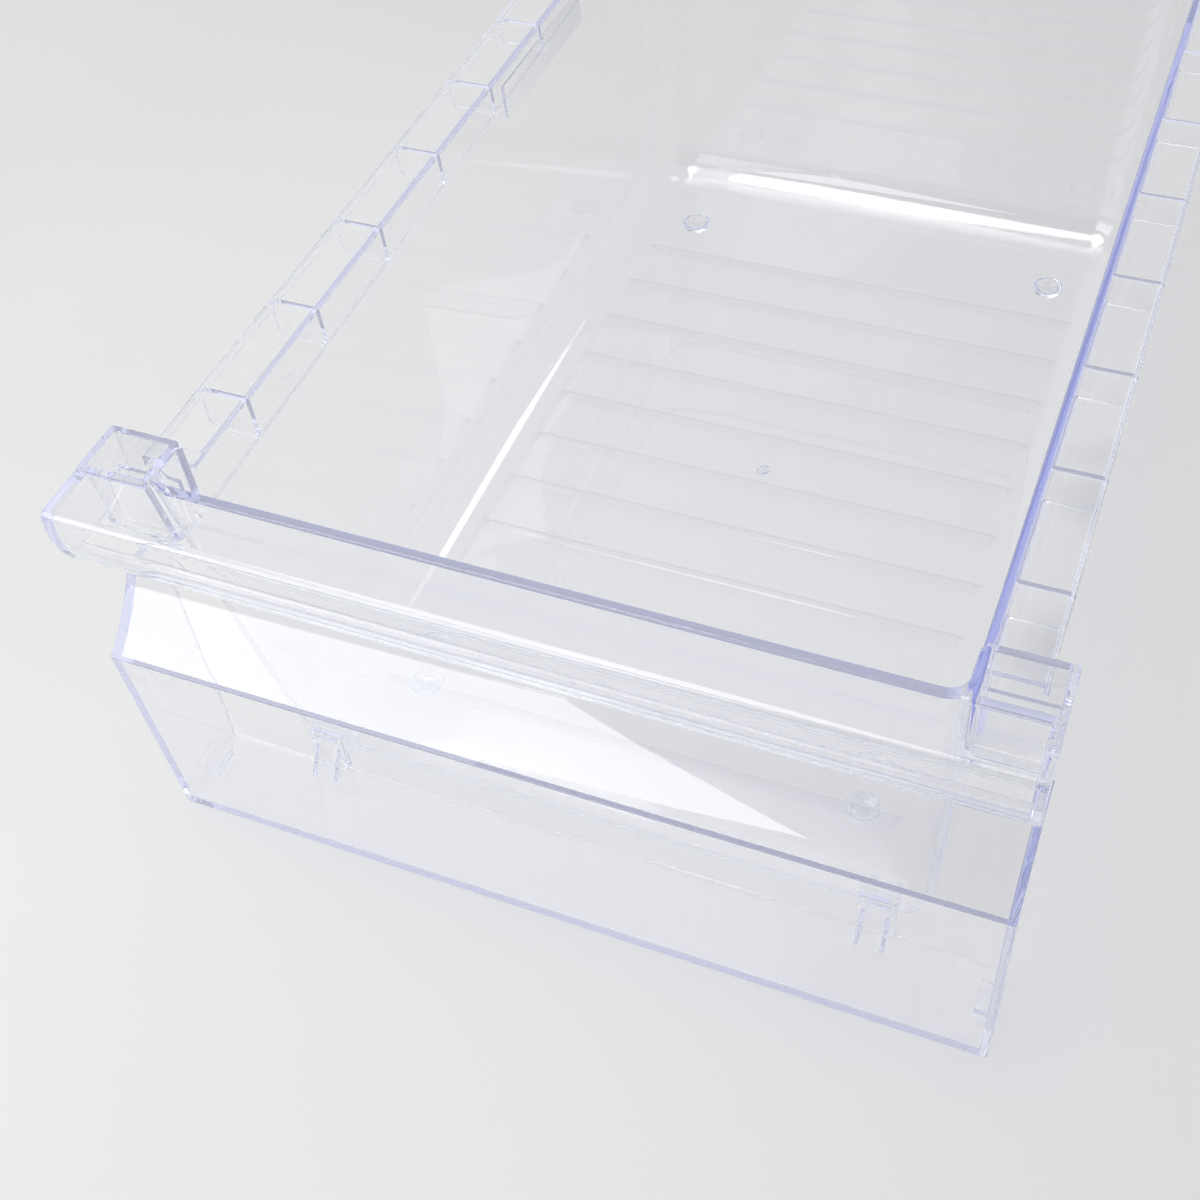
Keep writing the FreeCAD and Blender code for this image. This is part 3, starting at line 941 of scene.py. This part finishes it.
def is_seen(tree):
    """1 where a ray looks at a thing, straight or through plastic, and 0 where it lights."""
    path = add_node(tree, "LightPath")
    return any_of(tree, path, "Is Camera Ray", "Is Glossy Ray", "Is Transmission Ray")


# Clear plastic

SURFACE_COLOUR = (0.998, 0.998, 0.999, 1)
# Painted shade: the grey mixed into the plastic near each floor step's crest, for the faint shadow
# lines the steps cast
PAINTED_CREST_SHADE = (0.76, 0.77, 0.80, 1)
TINT = (0.38, 0.43, 0.87, 1)
TINT_DENSITY = 5.0
REFRACTIVE_INDEX = 1.57
HAZE_SCALE = 9.0
HAZE_DETAIL = 4.0
HAZE_RANGE = (0.35, 0.75)
ROUGHNESS = (0.006, 0.022)
WAVE_SCALE = 22.0
WAVE_DETAIL = 2.0
WAVE_STRENGTH = 0.08
WAVE_DEPTH = 0.0004
LIT_THROUGH = (0.997, 0.997, 0.998, 1)
# Painted light: the pale blue that a caught look ends on, for the light guided along inside the
# walls
PAINTED_GUIDED_LIGHT = (0.84, 0.86, 1.0, 1)
# A look into the plastic is caught after so many mirror reflections, and goes on straight
# and then ends after so many bounces of any kind
CAUGHT_AFTER = 2.5
STRAIGHT_AFTER = 5.5
END_AFTER = 10.5


def clear_plastic():
    """Glossy clear plastic whose tint deepens with the length of plastic looked through.

    Rays that light the scene pass straight through it. A look that is caught inside a wall ends on
    a pale blue: painted light, which stands in for the light the walls guide along and gives the
    edges their blue lines."""
    material = bpy.data.materials.new("clear_plastic")
    material.use_nodes = True
    tree = material.node_tree
    links = tree.links
    tree.nodes.clear()
    shader = add_node(tree, "BsdfPrincipled", {"Transmission Weight": 1.0, "IOR": REFRACTIVE_INDEX})
    # Painted shade on the floor steps: the colour turns grey near each crest, by the attribute the
    # tub carries
    painted_crest_shade = add_node(tree, "Attribute", attribute_name="painted_step_shade")
    colour = mixed(tree, painted_crest_shade.outputs["Fac"], SURFACE_COLOUR, PAINTED_CREST_SHADE)
    links.new(colour, shader.inputs["Base Color"])
    place = add_node(tree, "TexCoord").outputs["Object"]
    haze = noise(tree, place, HAZE_SCALE, HAZE_DETAIL)
    links.new(mapped(tree, haze, *HAZE_RANGE, *ROUGHNESS), shader.inputs["Roughness"])
    bump = add_node(tree, "Bump", {"Strength": WAVE_STRENGTH, "Distance": WAVE_DEPTH})
    links.new(noise(tree, place, WAVE_SCALE, WAVE_DETAIL), bump.inputs["Height"])
    links.new(bump.outputs["Normal"], shader.inputs["Normal"])

    straight = add_node(tree, "BsdfRefraction", {"IOR": 1.0, "Roughness": 0.0})
    # Painted light: a pale blue diffuse surface where a look is caught, in place of the light the
    # walls guide
    painted_guided_light = add_node(tree, "BsdfDiffuse", {"Color": PAINTED_GUIDED_LIGHT})
    through = add_node(tree, "BsdfTransparent", {"Color": LIT_THROUGH})
    path = add_node(tree, "LightPath")
    depth = path.outputs["Ray Depth"]
    is_caught = maths(tree, "GREATER_THAN", path.outputs["Glossy Depth"], CAUGHT_AFTER)
    is_late = maths(tree, "GREATER_THAN", depth, STRAIGHT_AFTER)
    is_last = maths(tree, "MAXIMUM", is_caught, maths(tree, "GREATER_THAN", depth, END_AFTER))
    is_light = any_of(tree, path, "Is Shadow Ray", "Is Diffuse Ray")
    look = chosen(tree, is_late, shader.outputs["BSDF"], straight.outputs["BSDF"])
    look = chosen(tree, is_last, look, painted_guided_light.outputs["BSDF"])
    output = add_node(tree, "OutputMaterial")
    links.new(chosen(tree, is_light, look, through.outputs["BSDF"]), output.inputs["Surface"])
    absorb = add_node(tree, "VolumeAbsorption", {"Color": TINT, "Density": TINT_DENSITY})
    links.new(absorb.outputs["Volume"], output.inputs["Volume"])
    return material


SHARP_EDGE = radians(32)


def finish_piece(obj, material, body, nodes):
    """Shades a visible piece, hangs it on its body and hides the CAD nodes it shows."""
    obj.data.materials.clear()
    obj.data.materials.append(material)
    obj.data.shade_smooth()
    obj.data.set_sharp_from_angle(angle=SHARP_EDGE)
    weigh = obj.modifiers.new("normals", "WEIGHTED_NORMAL")
    weigh.keep_sharp = True
    graph = bpy.context.evaluated_depsgraph_get()
    mesh = bpy.data.meshes.new_from_object(obj.evaluated_get(graph))
    obj.modifiers.clear()
    obj.data = mesh
    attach(obj, body)
    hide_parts(*nodes)


def build_bin():
    parts = [flange(), handle_sheet(), wall_pad(), gate_mark()]
    for side in (-1, 1):
        parts += [rib(side, index) for index in range(RIB_COUNT)] + [wall_bead(side)]
        parts += [well(side)] + well_plates(side) + [handle_end(side)]
        parts += [foot(side * FOOT_X, y) for y in FOOT_YS]
    return union("bin_moulding", tub_skin(), parts)


def build_front():
    parts = []
    for side in (-1, 1):
        parts += [panel_end(side), end_stop(side)] + hook(side)
    return union("front_moulding", panel_sheet(), parts)


# Table, room and lamps

# The table reaches this far each way. Looked at, it fades to one pale tone between the two
# distances from the middle. Lengths are in metres.
TABLE_HALF = 4.0
TABLE_DROP = 0.0002
TABLE_ROUGHNESS = 0.6
MOTTLE_SCALE = 3.0
MOTTLE_DETAIL = 5.0
TABLE_STOPS = ((0.3, (0.83, 0.83, 0.825, 1)), (0.7, (0.86, 0.86, 0.855, 1)))
# Painted shade: the table is painted darker towards the right, between the range's two X places,
# for the light falling off there
TABLE_PAINTED_SHADE_RIGHT = (0.815, 0.815, 0.82, 1)
TABLE_RIGHT_RANGE = (-0.20, 0.30)
TABLE_FAR = (0.79, 0.79, 0.80, 1)
TABLE_FAR_RANGE = (0.42, 0.95)


def table():
    mesh = bpy.data.meshes.new("table")
    corners = [(-1, -1), (1, -1), (1, 1), (-1, 1)]
    mesh.from_pydata([(x * TABLE_HALF, y * TABLE_HALF, 0) for x, y in corners], [], [(0, 1, 2, 3)])
    obj = bpy.data.objects.new("table", mesh)
    obj.location.z = -TABLE_DROP
    bpy.context.scene.collection.objects.link(obj)
    material = bpy.data.materials.new("table")
    material.use_nodes = True
    tree = material.node_tree
    links = tree.links
    shader = tree.nodes["Principled BSDF"]
    shader.inputs["Roughness"].default_value = TABLE_ROUGHNESS
    place = add_node(tree, "TexCoord").outputs["Object"]
    split = add_node(tree, "SeparateXYZ")
    links.new(place, split.inputs["Vector"])
    # Painted shade: darker towards the right
    painted_shade_to_right = mapped(tree, split.outputs["X"], *TABLE_RIGHT_RANGE)
    mottled = ramp(tree, noise(tree, place, MOTTLE_SCALE, MOTTLE_DETAIL), *TABLE_STOPS)
    links.new(mixed(tree, painted_shade_to_right, mottled, TABLE_PAINTED_SHADE_RIGHT), shader.inputs["Base Color"])
    distance = add_node(tree, "VectorMath", operation="LENGTH")
    links.new(place, distance.inputs[0])
    is_far = mapped(tree, distance.outputs["Value"], *TABLE_FAR_RANGE, curve="SMOOTHSTEP")
    share = maths(tree, "MULTIPLY", is_far, is_seen(tree))
    far = add_node(tree, "Emission", {"Color": TABLE_FAR})
    surface = chosen(tree, share, shader.outputs["BSDF"], far.outputs["Emission"])
    links.new(surface, tree.nodes["Material Output"].inputs["Surface"])
    mesh.materials.append(material)


# The room lights the scene with one tone. Looked at, it goes from the first stop at the
# horizon to the second one overhead. In mirror reflections one side of it is dim, behind
# the camera and to its right, by how near a look comes to that side's direction.
ROOM_LIGHT = (0.97, 0.98, 1.0, 1)
ROOM_STRENGTH = 0.40
ROOM_STOPS = ((0.0, (0.82, 0.82, 0.83, 1)), (0.9, (0.90, 0.91, 0.93, 1)))
DIM_DIRECTION = (0.33, -0.82, 0.47)
DIM_RANGE = (0.55, 0.92)
DIM_COLOUR = (0.15, 0.15, 0.16, 1)


def world():
    room = bpy.data.worlds.new("room")
    bpy.context.scene.world = room
    room.use_nodes = True
    tree = room.node_tree
    links = tree.links
    light = tree.nodes["Background"]
    light.inputs["Color"].default_value = ROOM_LIGHT
    light.inputs["Strength"].default_value = ROOM_STRENGTH
    way = add_node(tree, "TexCoord").outputs["Generated"]
    split = add_node(tree, "SeparateXYZ")
    links.new(way, split.inputs["Vector"])
    toward = add_node(tree, "VectorMath", operation="DOT_PRODUCT")
    links.new(way, toward.inputs[0])
    toward.inputs[1].default_value = DIM_DIRECTION
    near = mapped(tree, toward.outputs["Value"], *DIM_RANGE)
    dimmed = maths(tree, "MULTIPLY", near, add_node(tree, "LightPath").outputs["Is Glossy Ray"])
    seen = add_node(tree, "Background")
    tone = mixed(tree, dimmed, ramp(tree, split.outputs["Z"], *ROOM_STOPS), DIM_COLOUR)
    links.new(tone, seen.inputs["Color"])
    surface = chosen(tree, is_seen(tree), light.outputs["Background"], seen.outputs["Background"])
    links.new(surface, tree.nodes["World Output"].inputs["Surface"])


# Softboxes: name, place and aim in metres, width and height in metres, and watts
SOFTBOXES = (
    ("front_left", (-0.90, -1.29, 0.95), (0.05, -0.24, 0.08), 1.43, 1.1, 10.6),
    ("rear_right", (0.47, 0.92, 1.1), (0, 0, 0.03), 0.28, 0.5, 1.1),
    ("overhead", (-0.35, -0.25, 1.5), (-0.1, -0.1, 0), 0.9, 0.8, 8.9),
)


def softbox(name, place, aim, width, height, watts):
    lamp = bpy.data.lights.new(name, "AREA")
    lamp.shape = "RECTANGLE"
    lamp.size = width
    lamp.size_y = height
    lamp.energy = watts
    obj = bpy.data.objects.new(name, lamp)
    obj.location = place
    obj.rotation_euler = (Vector(aim) - Vector(place)).to_track_quat("-Z", "Y").to_euler()
    bpy.context.scene.collection.objects.link(obj)


# The photograph's camera: place in drawer millimetres, turn, tilt and roll. The lens and
# the sensor's width are in millimetres; the lens comes from a focal length in pixels.
CAMERA_PLACE = (161.7, -263.3, 518.2)
CAMERA_TURN = radians(26.49)
CAMERA_TILT = radians(48.55)
CAMERA_ROLL = radians(5.97)
SENSOR_WIDTH = 36.0
LENS = 1651.7 / 1200 * SENSOR_WIDTH


def camera():
    ahead = Vector((
        -sin(CAMERA_TURN) * cos(CAMERA_TILT),
        cos(CAMERA_TURN) * cos(CAMERA_TILT),
        -sin(CAMERA_TILT),
    ))
    right = Vector((cos(CAMERA_TURN), sin(CAMERA_TURN), 0.0))
    down = ahead.cross(right)
    across = right * cos(CAMERA_ROLL) + down * sin(CAMERA_ROLL)
    up = right * sin(CAMERA_ROLL) - down * cos(CAMERA_ROLL)
    data = bpy.data.cameras.new("camera")
    data.lens = LENS
    data.sensor_width = SENSOR_WIDTH
    data.sensor_fit = "HORIZONTAL"
    data.clip_start = 0.01
    obj = bpy.data.objects.new("camera", data)
    turn = Matrix((across, up, -ahead)).transposed()
    x, y, z = CAMERA_PLACE
    place = Vector((x, y - ORIGIN_Y, z)) * MM
    obj.matrix_world = Matrix.Translation(place) @ turn.to_4x4()
    bpy.context.scene.collection.objects.link(obj)
    bpy.context.scene.camera = obj


PLASTIC = clear_plastic()
bodies = frame["record"]["behaviour"]["bodies"]
finish_piece(build_bin(), PLASTIC, "bin", bodies["bin"])
finish_piece(build_front(), PLASTIC, "clip_on_front", bodies["clip_on_front"])
table()
world()
for box in SOFTBOXES:
    softbox(*box)
camera()
view = bpy.context.scene.view_settings
view.view_transform = "Standard"
# Light reaches the table through up to a dozen sheets of plastic, two surfaces each
bpy.context.scene.cycles.transparent_max_bounces = 32
